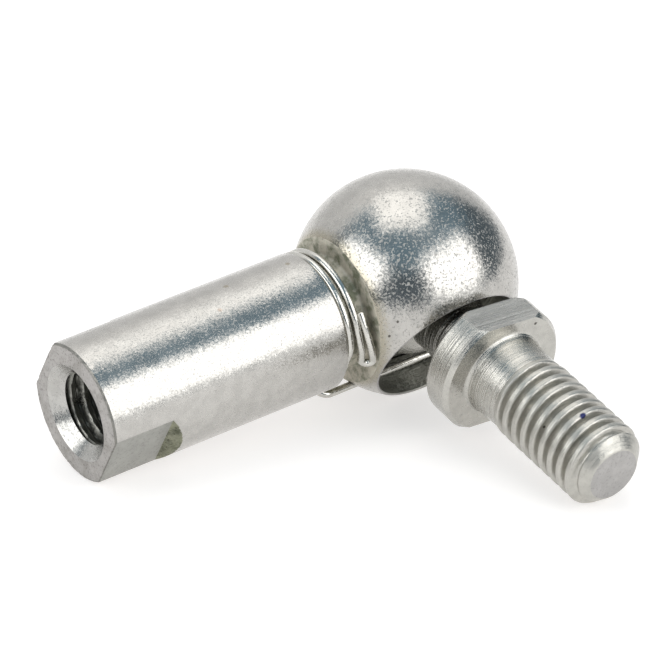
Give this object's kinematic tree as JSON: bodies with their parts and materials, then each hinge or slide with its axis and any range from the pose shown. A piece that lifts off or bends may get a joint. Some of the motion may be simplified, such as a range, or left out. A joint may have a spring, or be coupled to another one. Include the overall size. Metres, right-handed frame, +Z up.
{
  "type": "angle ball joint",
  "caption": "Angle ball joint for control linkages: a threaded ball stud swivels in a round socket with a female threaded shank, kept in by a snap ring and a wire safety clip.",
  "frame": {"origin": "under the middle of the joint's outline, on the surface that it lies on", "axes": "+X from the shank's end towards the ball, +Y away from the stud's threaded end, +Z up; the joint lies on its head, the rim of its shank and the tip of its stud"},
  "size_m": [0.0287, 0.0254, 0.0128],
  "materials": {
    "socket_steel": "turned steel with a bright zinc plate",
    "stud_steel": "turned steel with a bright zinc plate",
    "clip_wire": "bright drawn spring wire",
    "ring_wire": "plain dark spring wire"
  },
  "bodies": {
    "socket": {"ball_socket": "socket_steel", "safety_clip": "clip_wire"},
    "ring": {"snap_ring": "ring_wire"},
    "stud": {"ball_stud": "stud_steel"}
  },
  "joints": [
    {"name": "ring_turn", "type": "hinge", "parent": "socket", "child": "ring", "pos_m": [0.00795, 0.00634, 0.0064], "axis": [0.0609, -0.8332, -0.5496], "continuous": true},
    {"name": "stud_swing", "type": "hinge", "parent": "ring", "child": "stud", "pos_m": [0.00795, 0.00634, 0.0064], "axis": [0.9939, 0, 0.1102], "range_deg": [0, 42]}
  ]
}
